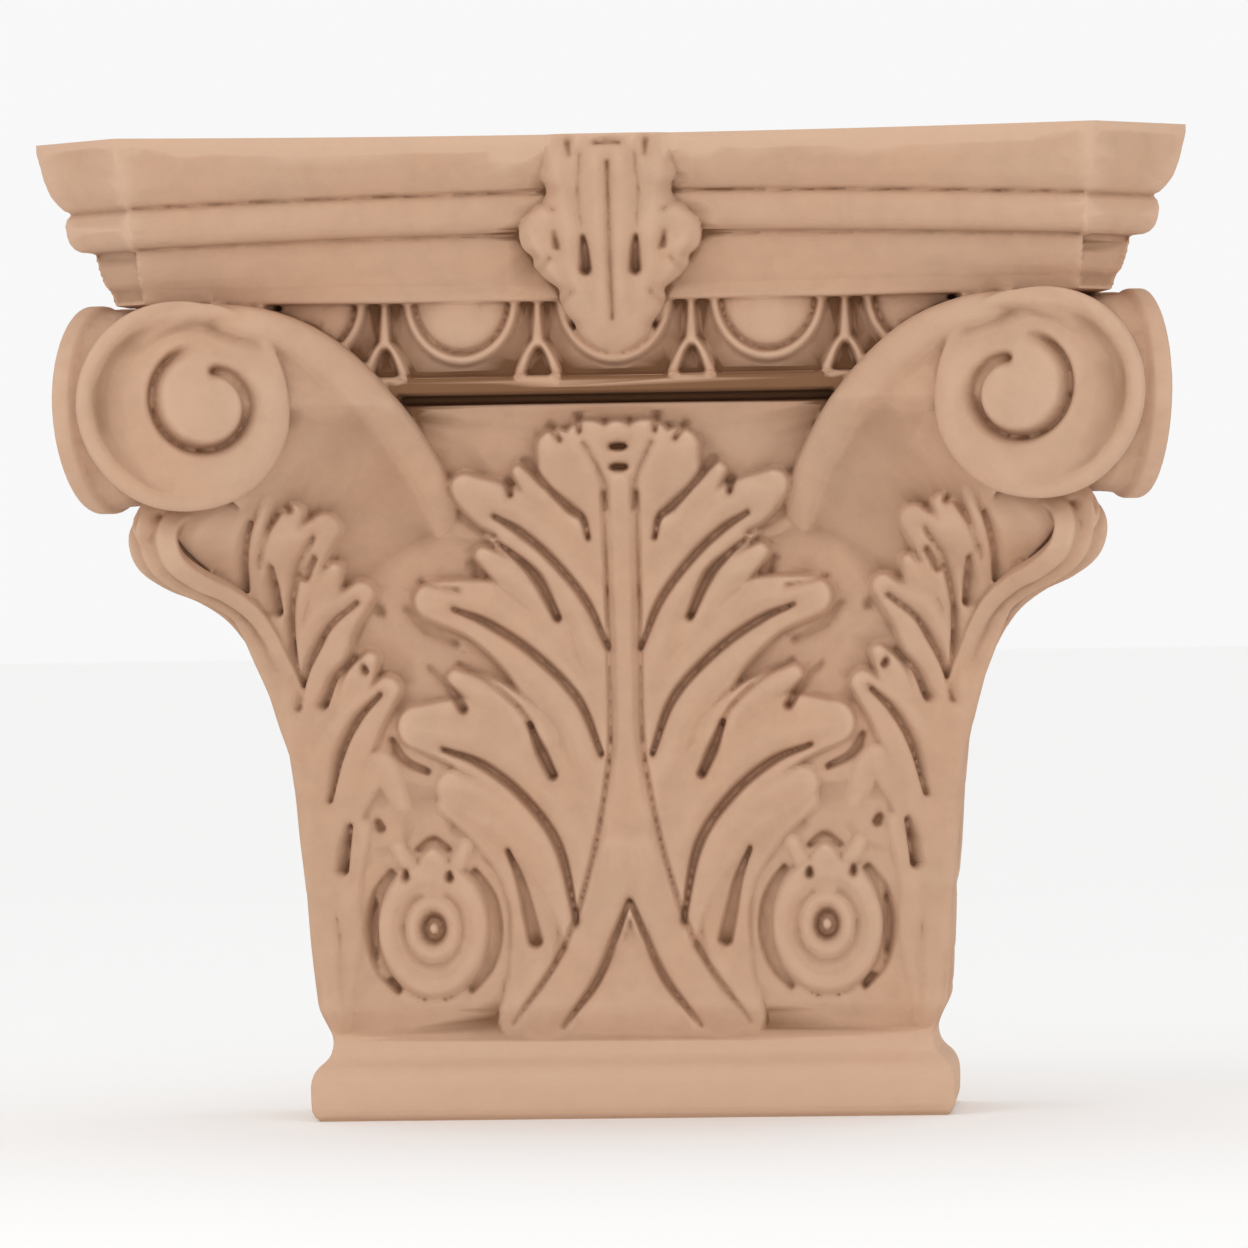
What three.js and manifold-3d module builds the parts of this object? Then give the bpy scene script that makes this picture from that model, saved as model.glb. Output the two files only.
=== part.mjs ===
// A Corinthian capital for a pilaster, cast in one piece with its flat back to the wall.
// Millimetres. +X is to the right, the front faces -Y, +Z is up, the underside lies at Z = 0.
import * as THREE from 'three';
import { mergeVertices } from 'three/addons/utils/BufferGeometryUtils.js';
import Module from 'manifold-3d';

// ---- driving dimensions -------------------------------------------------------------------
const HEIGHT = 245.4;            // underside of the astragal to the top of the abacus
const NECK_HALF = 76;            // half the width of the shaft that the capital crowns
const NECK_DEPTH = 54;           // how far the neck stands out from the wall
const HORN_HALF = 142.4;         // half the width over the abacus horns
const HORN_CUT = 22.6;           // each horn is cut off by this much along both faces
const ABACUS_HOLLOW = 16.4;      // how far the middle of an abacus face curves in
const ABACUS_UNDERSIDE = 205.2;  // level of the flat under the abacus
const ABACUS_DROOP = 3.5;        // the abacus mouldings sink by this much towards the horns
const TOP_BAND = 5;              // height of the plain band at the top, which doesn't sink
const LEAF_THICKNESS = 3.6;      // relief of the leaves over the bell
const VOLUTE_ACROSS = 100.6;     // centre of a volute from the middle of the capital
const VOLUTE_OUT = 127.9;        // centre of a volute's face in front of the plan centre
const VOLUTE_LEVEL = 179.6;      // height of the volute centres
const VOLUTE_TURN = 0.28;        // each volute face turns this far inwards, in radians
const VOLUTE_BODY = 36;          // depth of a volute behind its face, before the mitre
const COIL_RADIUS = 25.7;        // outer turn of a volute
const COIL_SHIFT = 5.2;          // the outer turn stands this far outwards of the volute's centre
const EGG_PITCH = 38.2;          // from one egg to the next, with one on the middle of the capital
const EGG_LEVEL = 206.8;         // where the eggs are cut off, just inside the abacus

// ---- profiles, each a list of [height, half width] ------------------------------------------
const FOOT = [[0, 79.2], [1.6, 80.8], [5, 81.3], [9, 81.3], [13, 79.8], [16, 77.2], [19.5, 76]];
const BELL_MIDDLE = [[30, 76.3], [60, 77.5], [100, 80.3], [131, 84.5], [151.5, 89.6], [172, 96],
  [181.2, 99.4]];
const BELL_CORNER = [[30, 77], [60, 79.2], [86, 81], [101, 84.6], [115.6, 89.2], [124.8, 93],
  [131, 97.8], [136.2, 103.6], [142.4, 109.8], [147.6, 113], [152.8, 113.4], [160, 109], [181.2, 102.4]];
const ECHINUS = [[183.4, 108.4], [187.3, 108.4], [187.8, 103.4], [206.6, 103.4]];
// the abacus, as [height, how far in from the top edge]
const ABACUS_PROFILE = [[205.2, 17.4], [210, 15.6], [221.9, 12.8], [222.3, 9.2], [226, 6.4], [231, 6.4],
  [232, 7.6], [233.4, 4.8], [238.6, 1.7], [242, 0], [245.4, 0]];
// the middle line of a corner leaf's tip: [out along x and y alike, height, half width, half thickness]
const LEAF_TIP = [[80, 96, 3.6, 2.4], [84, 107.5, 4.6, 2.6], [89, 118, 5.8, 2.8], [96, 129.6, 7.2, 3],
  [102.4, 134.4, 8, 3.2], [109, 138, 8.6, 3.6], [114.2, 142.4, 9, 3.8], [115.4, 148, 8.8, 3.6],
  [112.8, 152.4, 8, 3.2]];

const SHORTEST_EDGE = 0.15;      // shorter edges, left by the joins, are drawn together
const CORNER_POWER = 3;          // how late the bell swings out towards its corners
const LEAN_POWER = 6;            // how late the relief turns from straight ahead to the diagonal
const PLAN_STEPS = 8;            // columns over one face of the bell or the abacus
const WALL_BACK = NECK_HALF - NECK_DEPTH;               // the wall plane in front of the plan centre
const PLAN_CENTRE = (HORN_HALF + WALL_BACK) / 2;        // puts the origin in the middle of the depth
const ECHINUS_HALF = ECHINUS.at(-1)[1];
const BELL_TOP = BELL_MIDDLE.at(-1)[0];

const wasm = await Module();
wasm.setup();

// ---- helpers --------------------------------------------------------------------------------

/** Straight-line reading of a profile at a height. */
function read(profile, z) {
  if (z <= profile[0][0]) return profile[0][1];
  for (let i = 1; i < profile.length; i += 1) {
    const [z1, w1] = profile[i];
    const [z0, w0] = profile[i - 1];
    if (z <= z1) return w0 + (w1 - w0) * (z - z0) / (z1 - z0);
  }
  return profile.at(-1)[1];
}

/** A closed solid through rings of equally many points, shut by a fan at either end. */
function loft(rings) {
  const count = rings[0].length;
  const last = rings.length - 1;
  const geometry = new THREE.CylinderGeometry(1, 1, 1, count, last);
  geometry.deleteAttribute('normal');
  geometry.deleteAttribute('uv');
  const position = geometry.getAttribute('position');
  for (let i = 0; i < position.count; i += 1) {
    const x = position.getX(i);
    const z = position.getZ(i);
    const row = Math.round((0.5 - position.getY(i)) * last);
    const ring = rings[row];
    const point = new THREE.Vector3();
    if (Math.hypot(x, z) < 0.5) {
      ring.forEach((corner) => point.addScaledVector(corner, 1 / count));
    } else {
      const turn = Math.atan2(x, z) / (2 * Math.PI);
      point.copy(ring[(Math.round(turn * count) + count) % count]);
    }
    position.setXYZ(i, point.x, point.y, point.z);
  }
  return solid(geometry);
}

/** A manifold from a closed geometry, turned right side out. */
function solid(geometry) {
  geometry.deleteAttribute('normal');
  geometry.deleteAttribute('uv');
  const merged = mergeVertices(geometry, 1e-4);
  const vertProperties = new Float32Array(merged.getAttribute('position').array);
  const kept = [];
  let volume = 0;
  const index = merged.index.array;
  const at = (i) => new THREE.Vector3().fromArray(vertProperties, 3 * i);
  for (let i = 0; i < index.length; i += 3) {
    const [a, b, c] = [index[i], index[i + 1], index[i + 2]];
    if (a === b || b === c || c === a) continue;
    kept.push(a, b, c);
    volume += at(a).dot(at(b).cross(at(c)));
  }
  if (volume < 0) kept.reverse();
  return new wasm.Manifold(new wasm.Mesh({ numProp: 3, vertProperties, triVerts: new Uint32Array(kept) }));
}

/** A box between two corners. */
function block(low, high) {
  const size = new THREE.Vector3(...high).sub(new THREE.Vector3(...low));
  const geometry = new THREE.BoxGeometry(size.x, size.y, size.z);
  geometry.translate(low[0] + size.x / 2, low[1] + size.y / 2, low[2] + size.z / 2);
  return solid(geometry);
}

function join(list) {
  return list.reduce((whole, piece) => whole.add(piece));
}

/** The point at x, z on the front of the bell, proud of it by `out`. */
function onBell(x, z, out) {
  const middle = read(BELL_MIDDLE, z);
  const corner = read(BELL_CORNER, z);
  const share = Math.min(Math.abs(x) / corner, 1);
  const half = middle + (corner - middle) * share ** CORNER_POWER;
  const lean = Math.sign(x) * share ** LEAN_POWER;
  const long = Math.hypot(lean, 1);
  return new THREE.Vector3(x + out * lean / long, -half - out / long, z);
}

// ---- bell, neck and foot ----------------------------------------------------------------------

/** The closed plan of the bell at one height: four faces from corner to corner. */
function bellRing(middle, corner, z) {
  const ring = [];
  for (let face = 0; face < 4; face += 1) {
    for (let i = 0; i < PLAN_STEPS; i += 1) {
      const share = 2 * i / PLAN_STEPS - 1;
      const half = middle + (corner - middle) * Math.abs(share) ** CORNER_POWER;
      const point = new THREE.Vector3(share * corner, -half, z);
      ring.push(point.applyAxisAngle(new THREE.Vector3(0, 0, 1), face * Math.PI / 2));
    }
  }
  return ring;
}

function bell() {
  const rings = FOOT.map(([z, half]) => bellRing(half, half, z));
  BELL_CORNER.forEach(([z, corner]) => rings.push(bellRing(read(BELL_MIDDLE, z), corner, z)));
  ECHINUS.forEach(([z, half]) => rings.push(bellRing(half, half, z)));
  return loft(rings);
}

// ---- abacus -------------------------------------------------------------------------------------

/** The plan of the abacus, shrunk evenly by `inset`: four hollow faces and four cut horns. */
function abacusRing(inset, z) {
  const reach = HORN_HALF - HORN_CUT;
  const outline = [];
  for (let face = 0; face < 4; face += 1) {
    for (let i = 0; i <= PLAN_STEPS; i += 1) {
      const share = 2 * i / PLAN_STEPS - 1;
      const out = HORN_HALF - ABACUS_HOLLOW * (1 - share * share);
      const point = new THREE.Vector2(share * reach, -out);
      outline.push(point.rotateAround(new THREE.Vector2(), face * Math.PI / 2));
    }
  }
  return outline.map((point, i) => {
    const before = outline[(i + outline.length - 1) % outline.length];
    const after = outline[(i + 1) % outline.length];
    const outward = (a, b) => new THREE.Vector2(b.y - a.y, a.x - b.x).normalize();
    const first = outward(before, point);
    const second = outward(point, after);
    const mitre = first.clone().add(second).divideScalar(1 + first.dot(second));
    const reachOut = Math.max(Math.abs(point.x), Math.abs(point.y));
    const near = (reachOut - (HORN_HALF - ABACUS_HOLLOW)) / ABACUS_HOLLOW;
    const moulded = z > ABACUS_UNDERSIDE && z < HEIGHT - TOP_BAND;
    const sink = moulded ? ABACUS_DROOP * THREE.MathUtils.clamp(near, 0, 1) : 0;
    return new THREE.Vector3(point.x - inset * mitre.x, point.y - inset * mitre.y, z - sink);
  });
}

function abacus() {
  return loft(ABACUS_PROFILE.map(([z, inset]) => abacusRing(inset, z)));
}

// ---- leaves ---------------------------------------------------------------------------------------

/** One leaflet of a leaf: a tapering pad with a crowned back, along a smooth line on the bell. */
function leaflet(line, widths, thick, steps = 4) {
  const curve = new THREE.CatmullRomCurve3(line.map(([x, z]) => new THREE.Vector3(x, 0, z)));
  const rings = [];
  for (let i = 0; i <= steps; i += 1) {
    const along = i / steps;
    const centre = curve.getPoint(along);
    const tangent = curve.getTangent(along);
    const spot = along * (widths.length - 1);
    const low = Math.min(Math.floor(spot), widths.length - 2);
    const half = widths[low] + (widths[low + 1] - widths[low]) * (spot - low);
    const rise = thick * Math.min(1, 0.2 + 4 * along);
    // across the leaflet, from -1 to 1: a rolled edge on either side of a hollow
    const section = [[-1, -2], [-0.75, rise * 0.85], [0.1, rise * 0.7], [0.75, rise], [1, -2]];
    rings.push(section.map(([side, out]) => onBell(
      centre.x - tangent.z * side * half,
      centre.z + tangent.x * side * half,
      out,
    )));
  }
  return loft(rings);
}

/** The right half of a shape on the front face and its mirror image on the left. */
function bothSides(piece) {
  return piece.add(piece.mirror([1, 0, 0]));
}

function middleLeaf() {
  const stem = leaflet([[0, 22], [0, 60], [0, 110], [0, 158]], [17, 6, 3.4, 3.6], LEAF_THICKNESS + 2.2, 6);
  const crownTop = leaflet([[0, 150], [0, 164], [0, 173]], [5, 6.5, 5.5], LEAF_THICKNESS + 1.5, 3);
  const side = join([
    leaflet([[3, 136], [8, 156], [14, 172]], [4, 8, 6], LEAF_THICKNESS + 1, 3),
    leaflet([[4, 110], [11, 134], [25, 150], [41, 157]], [4, 9, 8, 2.6], LEAF_THICKNESS + 0.4),
    leaflet([[4, 82], [13, 107], [30, 123], [50, 129]], [4, 11, 10, 3], LEAF_THICKNESS),
    leaflet([[8, 50], [16, 76], [33, 92], [55, 98]], [4, 12, 12, 3], LEAF_THICKNESS - 0.4),
    leaflet([[31, 22], [22, 40], [24, 58], [36, 74]], [5, 7, 8, 5], LEAF_THICKNESS - 0.8),
  ]);
  return join([stem, crownTop, bothSides(side)]);
}

function cornerLeaf() {
  return bothSides(join([
    leaflet([[76, 22], [78, 60], [80, 95], [92, 128]], [3.5, 4, 6, 8], LEAF_THICKNESS, 6),
    leaflet([[75, 62], [73, 86], [67, 102], [57, 110]], [4, 8, 8, 2.4], LEAF_THICKNESS - 0.4),
    leaflet([[78, 88], [77, 106], [71, 121], [62, 131]], [4, 8, 8, 2.4], LEAF_THICKNESS),
    leaflet([[84, 106], [84, 124], [78, 138], [69, 147]], [4, 8, 7, 2.4], LEAF_THICKNESS + 0.4),
    leaflet([[92, 116], [95, 132], [95, 144], [89, 152]], [5, 8, 8, 4], LEAF_THICKNESS + 0.8),
    leaflet([[73, 24], [70, 45], [70, 62], [66, 76]], [2.5, 3.4, 4.4, 3], LEAF_THICKNESS - 1.2),
  ]));
}

/** The ringed oval at the foot of each gap between two leaves. */
function oval() {
  const centre = [49.4, 47.5];
  const ring = (across, up, out) => {
    const points = [];
    for (let i = 0; i < 10; i += 1) {
      const turn = 2 * Math.PI * i / 10;
      points.push(onBell(centre[0] + across * Math.cos(turn), centre[1] + up * Math.sin(turn), out));
    }
    return points;
  };
  const shield = loft([ring(13.5, 17.5, -3), ring(13, 17, 3), ring(11, 15, 4.4), ring(7, 8.4, 3.4),
    ring(5.6, 7, 4.4), ring(3.6, 5, 3.8), ring(2.6, 4, 1)]);
  const crest = leaflet([[49.4, 60], [49.4, 66], [49.4, 72]], [6, 5, 2.5], 4, 3);
  return bothSides(shield.add(crest));
}

// ---- volutes and their stalks -----------------------------------------------------------------------

/** A point of the right volute: `radius` and `turn` in its face, `out` in front of the face. */
function onVolute(radius, turn, out) {
  const across = radius * Math.cos(turn);
  const cos = Math.cos(VOLUTE_TURN);
  const sin = Math.sin(VOLUTE_TURN);
  return new THREE.Vector3(
    VOLUTE_ACROSS + across * cos - out * sin,
    -VOLUTE_OUT - across * sin - out * cos,
    VOLUTE_LEVEL + radius * Math.sin(turn),
  );
}

/** Outer radius of the coil: a circle that stands a little outwards of the volute's centre. */
function coilRadius(turn) {
  return COIL_SHIFT * Math.cos(turn) + Math.sqrt(COIL_RADIUS ** 2 - (COIL_SHIFT * Math.sin(turn)) ** 2);
}

/** How far the coil has wound from its top over the outside, from 0 to 1. */
function wound(turn) {
  return THREE.MathUtils.euclideanModulo(Math.PI / 2 - turn, 2 * Math.PI) / (2 * Math.PI);
}

function volute() {
  const columns = 16;
  // from the knob out over the groove, the channel and the rim, and back along the side:
  // [share of the outer radius, height of the face], each by how far the coil has wound
  const face = [
    [() => 0.13, () => 3.2], [() => 0.33, () => 2.4], [() => 0.41, () => -0.6],
    [(w) => 0.48 + 0.08 * (1 - w), () => 1.4], [() => 0.7, (w) => 2.6 * w],
    [() => 0.87, (w) => 3 * w - 1.2], [() => 0.92, () => 2], [() => 1, () => 1],
    [() => 0.94, () => -4], [() => 0.92, () => -VOLUTE_BODY],
  ];
  const rings = face.map(([share, out]) => {
    const ring = [];
    for (let i = 0; i < columns; i += 1) {
      const turn = 2 * Math.PI * i / columns;
      ring.push(onVolute(share(wound(turn)) * coilRadius(turn), turn, out(wound(turn))));
    }
    return ring;
  });
  return loft(rings);
}

/** The broad hollow stalk that sweeps up from between the leaves into the volute's top. */
function stalk() {
  const stations = [
    // [rim x, rim z], [inner x, inner z], and how far each of the two stands out from the bell
    [[41, 151.6], [69.6, 121.2], 0.4, 4],
    [[42.8, 160.8], [76, 132.4], 3, 8.6],
    [[47.4, 170.6], [83.2, 142.4], 5.8, 14],
    [[54.2, 181.2], [90, 150.6], 9.4, 20.4],
    [[63.9, 191.7], [95.4, 156.6], 14.6, 27],
    [[74.4, 199.4], [99.6, 162.8], 19.2, 29],
    [[87, 203], [103, 170], 23.4, 28],
    [[100.4, 204], [105.4, 178.2], 24.4, 26],
  ];
  // across the stalk from its rim, as [share of the way, height]
  const section = [[0, 0], [0.05, 1.4], [0.16, 1.6], [0.24, 0], [0.5, -1], [0.8, -1.4], [1, -1.6]];
  const buried = -70;
  const rings = stations.map(([[x, z], [innerX, innerZ], rimOut, innerOut]) => {
    const ring = section.map(([share, lift]) => {
      const px = THREE.MathUtils.lerp(x, innerX, share);
      const pz = THREE.MathUtils.lerp(z, innerZ, share);
      const out = THREE.MathUtils.lerp(rimOut, innerOut, share ** 1.4) + lift;
      return new THREE.Vector3(px, -read(BELL_MIDDLE, Math.min(pz, BELL_TOP)) - out, pz);
    });
    ring.push(new THREE.Vector3(innerX, buried, innerZ));
    ring.push(new THREE.Vector3(x, buried, z));
    return ring;
  });
  return loft(rings);
}

/** The tip of the right corner leaf, bent over under the volute on the plane of the diagonal. */
function leafTip() {
  const sides = 8;
  const rings = LEAF_TIP.map(([out, z, half, thick], i) => {
    const before = LEAF_TIP[Math.max(i - 1, 0)];
    const after = LEAF_TIP[Math.min(i + 1, LEAF_TIP.length - 1)];
    const along = new THREE.Vector2((after[0] - before[0]) * Math.SQRT2, after[1] - before[1]).normalize();
    const ring = [];
    for (let k = 0; k < sides; k += 1) {
      const turn = 2 * Math.PI * k / sides;
      const across = half * Math.cos(turn);
      const lift = thick * Math.sin(turn);
      const reach = out * Math.SQRT2 - along.y * lift;
      ring.push(new THREE.Vector3(
        (reach + across) * Math.SQRT1_2,
        (across - reach) * Math.SQRT1_2,
        z + along.x * lift,
      ));
    }
    return ring;
  });
  return loft(rings);
}

/** Both corner volutes as one front face sees them, cut on the mitre with the next face. */
function scrolls() {
  const whole = volute().add(stalk());
  const rim = HORN_HALF + 20;
  const lap = 0.4;               // the two faces' scrolls run into each other by this much
  const mitre = new THREE.Shape([
    new THREE.Vector2(-lap, 0),
    new THREE.Vector2(lap, 0),
    new THREE.Vector2(rim + lap, -rim),
    new THREE.Vector2(-lap, -rim),
  ]);
  const wedge = solid(new THREE.ExtrudeGeometry(mitre, { depth: HEIGHT, bevelEnabled: false }));
  return bothSides(whole.intersect(wedge));
}

// ---- eggs and darts, and the fleuron ------------------------------------------------------------------

/** Half rings hanging from the abacus at x, through a list of [half width, how far out]. */
function hanging(x, sizes, stretch) {
  const steps = 6;
  return loft(sizes.map(([across, out]) => {
    const ring = [];
    for (let i = 0; i <= steps; i += 1) {
      const turn = Math.PI * (1 + i / steps);
      ring.push(new THREE.Vector3(
        x + across * Math.cos(turn),
        -ECHINUS_HALF - out,
        EGG_LEVEL + across * stretch * Math.sin(turn),
      ));
    }
    return ring;
  }));
}

/** An egg in its shell. */
function egg(x) {
  const shell = hanging(x, [[14.4, -1], [14.4, 4], [12.8, 4.8], [12, 2]], 1.14);
  return shell.add(hanging(x, [[11.4, 0.4], [10.8, 2.8], [8.8, 4.6], [5, 5.6], [1, 6]], 1.2));
}

/** A dart between two eggs, wider and prouder towards its point on the fillet. */
function dart(x) {
  const front = ECHINUS_HALF + 1;
  const level = (z, half, out) => [
    new THREE.Vector3(x - half, 1 - ECHINUS_HALF, z),
    new THREE.Vector3(x - half, -front, z),
    new THREE.Vector3(x, -front - out, z),
    new THREE.Vector3(x + half, -front, z),
    new THREE.Vector3(x + half, 1 - ECHINUS_HALF, z),
  ];
  return loft([level(EGG_LEVEL, 1.4, 2), level(198, 1.8, 3), level(189, 3, 3.6)]);
}

function eggAndDart() {
  const right = join([egg(EGG_PITCH), dart(EGG_PITCH / 2), dart(EGG_PITCH * 1.5)]);
  return join([egg(0), bothSides(right)]);
}

/** The leaf on the middle of the abacus, hanging over the eggs. */
function fleuron() {
  const levels = [
    // height, half width, how far its sides stand in front of the plan centre
    [244.8, 16, 126.6], [236, 16.8, 125.6], [231.6, 15.8, 125], [225, 20.8, 124], [220.6, 22, 123.4],
    [215, 19.4, 122.8], [208, 14.4, 120.4], [200, 11.2, 116], [193, 5.4, 110.6],
  ];
  const rings = levels.map(([z, half, out]) => [
    new THREE.Vector3(-half, 2 - ECHINUS_HALF, z),
    new THREE.Vector3(-half, -out + 2, z),
    new THREE.Vector3(-half * 0.6, -out - 1.8, z),
    new THREE.Vector3(0, -out - 1, z),
    new THREE.Vector3(half * 0.6, -out - 1.8, z),
    new THREE.Vector3(half, -out + 2, z),
    new THREE.Vector3(half, 2 - ECHINUS_HALF, z),
  ]);
  return loft(rings);
}

// ---- the whole capital ----------------------------------------------------------------------------------

function capital() {
  const carving = join([middleLeaf(), cornerLeaf(), oval(), scrolls(), eggAndDart(), fleuron()]);
  const beyond = HORN_HALF + 30;
  const front = block([-beyond, -beyond, 0], [beyond, -WALL_BACK, HEIGHT]);
  const sides = [carving.rotate([0, 0, 90]), carving.rotate([0, 0, -90])];
  const whole = join([bell(), abacus(), carving, ...sides, bothSides(leafTip())]);
  return whole.intersect(front).translate([0, PLAN_CENTRE, 0]);
}

/** Triangles with each edge shorter than `shortest` drawn together to one point, where that is safe. */
function withoutShortEdges(points, triangles, shortest) {
  const faces = [];
  for (let i = 0; i < triangles.length; i += 3) faces.push([...triangles.slice(i, i + 3)]);
  const around = points.map(() => new Set());
  faces.forEach((face, i) => face.forEach((corner) => around[corner].add(i)));
  const neighbours = (corner) => new Set([...around[corner]].flatMap((i) => faces[i]));
  const drawTogether = (kept, gone) => {
    const shared = [...neighbours(kept)].filter((corner) => neighbours(gone).has(corner));
    if (shared.length !== 4) return;
    for (const i of [...around[gone]]) {
      const face = faces[i];
      if (face.includes(kept)) {
        face.forEach((corner) => around[corner].delete(i));
        faces[i] = null;
      } else {
        face[face.indexOf(gone)] = kept;
        around[kept].add(i);
      }
    }
    around[gone].clear();
  };
  for (let i = 0; i < faces.length; i += 1) {
    for (let side = 0; faces[i] && side < 3; side += 1) {
      const [a, b] = [faces[i][side], faces[i][(side + 1) % 3]];
      if (points[a].distanceTo(points[b]) < shortest) drawTogether(a, b);
    }
  }
  return faces.filter((face) => face).flat();
}

/** A named mesh from a finished solid. */
function mesh(name, piece, material) {
  const data = piece.getMesh();
  const points = [];
  for (let i = 0; i < data.vertProperties.length; i += 3) {
    points.push(new THREE.Vector3().fromArray(data.vertProperties, i));
  }
  const geometry = new THREE.BufferGeometry().setFromPoints(points);
  geometry.setIndex(withoutShortEdges(points, data.triVerts, SHORTEST_EDGE));
  geometry.computeVertexNormals();
  const made = new THREE.Mesh(geometry, material);
  made.name = name;
  return made;
}

const composition = new THREE.MeshStandardMaterial({ color: 0xc49e84, roughness: 0.85, metalness: 0 });
const model = new THREE.Group();
model.add(mesh('capital', capital(), composition));

export default model;
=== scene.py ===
"""The carving and finish of a Corinthian pilaster capital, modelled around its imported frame."""

import math

import bmesh
import bpy
import numpy as np
from bpy.props import FloatProperty, FloatVectorProperty, IntProperty
from mathutils import Matrix, Vector


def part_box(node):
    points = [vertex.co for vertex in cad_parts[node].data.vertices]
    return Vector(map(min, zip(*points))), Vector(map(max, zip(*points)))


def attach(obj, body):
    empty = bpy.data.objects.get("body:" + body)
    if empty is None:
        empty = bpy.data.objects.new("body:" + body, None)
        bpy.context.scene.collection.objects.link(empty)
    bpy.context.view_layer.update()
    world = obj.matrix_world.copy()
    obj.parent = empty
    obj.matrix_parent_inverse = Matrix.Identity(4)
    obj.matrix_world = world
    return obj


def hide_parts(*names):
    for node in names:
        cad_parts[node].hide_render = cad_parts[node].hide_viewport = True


bl_info = {
    "name": "Corinthian pilaster capital",
    "version": (1, 0, 0),
    "blender": (4, 5, 0),
    "location": "View3D > Sidebar > Capital",
    "description": "Carves a Corinthian pilaster capital and gives it its cast finish",
    "category": "Object",
}

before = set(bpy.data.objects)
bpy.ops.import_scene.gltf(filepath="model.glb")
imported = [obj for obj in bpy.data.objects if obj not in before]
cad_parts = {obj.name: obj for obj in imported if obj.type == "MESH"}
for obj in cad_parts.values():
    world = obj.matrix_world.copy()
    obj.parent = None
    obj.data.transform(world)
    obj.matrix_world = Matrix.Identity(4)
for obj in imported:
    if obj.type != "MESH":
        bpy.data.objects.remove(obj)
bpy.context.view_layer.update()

# ---- measures of the frame, in millimetres about the centre of the full square plan --------------

MM = 0.001
LOW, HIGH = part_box("capital")
HEIGHT = HIGH.z / MM
HORN_HALF = HIGH.x / MM
DEPTH = (HIGH.y - LOW.y) / MM
WALL_BACK = HORN_HALF - DEPTH           # the wall plane lies this far in front of the plan centre
PLAN_CENTRE = HIGH.y / MM + WALL_BACK   # from the frame's origin back to the plan centre
BEYOND = 3.0                            # the rough carving runs this far past each flat cut
# the carving is drawn with horns this wide and to this height, and then opened out to the full size
DRAWN_HALF = 139.0
DRAWN_HEIGHT = 243.0
NECK_HALF = 76.0
HORN_CUT = 22.0                         # how much is cut off each horn along the side
HORN_DROOP = 3.5                        # how far the mouldings dip towards the horns
ABACUS_HOLLOW = 16.0                    # how deep each side of the abacus is hollowed
ABACUS_UNDERSIDE = 202.8
TRIANGLE_LIMIT = 200000                 # the finished carving stays under this

# ---- profiles, each a list of (height, half width) -----------------------------------------------

FOOT = [(-BEYOND, 79.2), (0, 79.2), (0.9, 80.3), (2.4, 81), (4.6, 81.3), (9.2, 81.3), (11.6, 80.7),
        (13.4, 79.6), (15, 77.8), (16.6, 76.6), (19, 76), (22, 76)]
BELL_MIDDLE = [(22, 76), (30, 76.1), (60, 77.3), (100, 80.3), (130, 84), (150, 88.4), (170, 95.6),
               (178, 99.4)]
BELL_CORNER = [(22, 76), (30, 77), (45, 78.4), (60, 79.2), (86, 81), (101, 84.6), (115, 89), (124, 92.6),
               (130, 97), (135, 102.6), (141, 108.4), (146, 111.4), (151, 111.6), (158, 107), (178, 100)]
FILLET_FOOT = 179.8
FILLET_TOP = 184.2
FILLET_HALF = 106.0
ECHINUS_HALF = 101.0                    # the band behind the eggs
SHADOW_GAP = 2.3                        # height of the dark gap under the fillet
GAP_HALF = 92.5
# the abacus, as (height, how far in from its top edge)
ABACUS_PROFILE = [(202.8, 30), (202.8, 17), (203.5, 16.4), (207, 15.6), (211, 14.4), (215, 13.2),
                  (218, 12.6), (219.5, 12.8), (219.8, 9.2), (220.6, 7.8), (222, 6.8), (224, 6.2),
                  (226.4, 6), (228.2, 6.3), (229, 7.2), (229.6, 7.6), (230.1, 5.8), (231.4, 4.6),
                  (233.6, 3), (236.2, 1.6), (238.8, 0.7), (240.2, 0.2), (241, 0), (DRAWN_HEIGHT, 0),
                  (DRAWN_HEIGHT + BEYOND, 0)]


# ---- lines and relief ----------------------------------------------------------------------------

def smooth_line(points, steps=8):
    """A smooth curve through the points, as an array with `steps` places to a span."""
    p = np.array(points, float)
    p = np.vstack([2 * p[0] - p[1], p, 2 * p[-1] - p[-2]])
    t = np.linspace(0, 1, steps, endpoint=False)[:, None]
    spans = []
    for a, b, c, d in zip(p, p[1:], p[2:], p[3:]):
        spans.append(b + 0.5 * t * (c - a + t * (2 * a - 5 * b + 4 * c - d + t * (3 * (b - c) + d - a))))
    return np.vstack(spans + [p[-2:-1]])


def read(profile, z):
    """Half width of a smooth profile at each height."""
    curve = smooth_line(profile)
    return np.interp(z, curve[:, 0], curve[:, 1])


def spread(values, count):
    """A short list of values stretched smoothly over `count` places."""
    return np.interp(np.linspace(0, 1, count), np.linspace(0, 1, len(values)), values)


def ease(x):
    """0 below 0, 1 above 1, and a smooth step between."""
    x = np.clip(x, 0, 1)
    return x * x * (3 - 2 * x)


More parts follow.
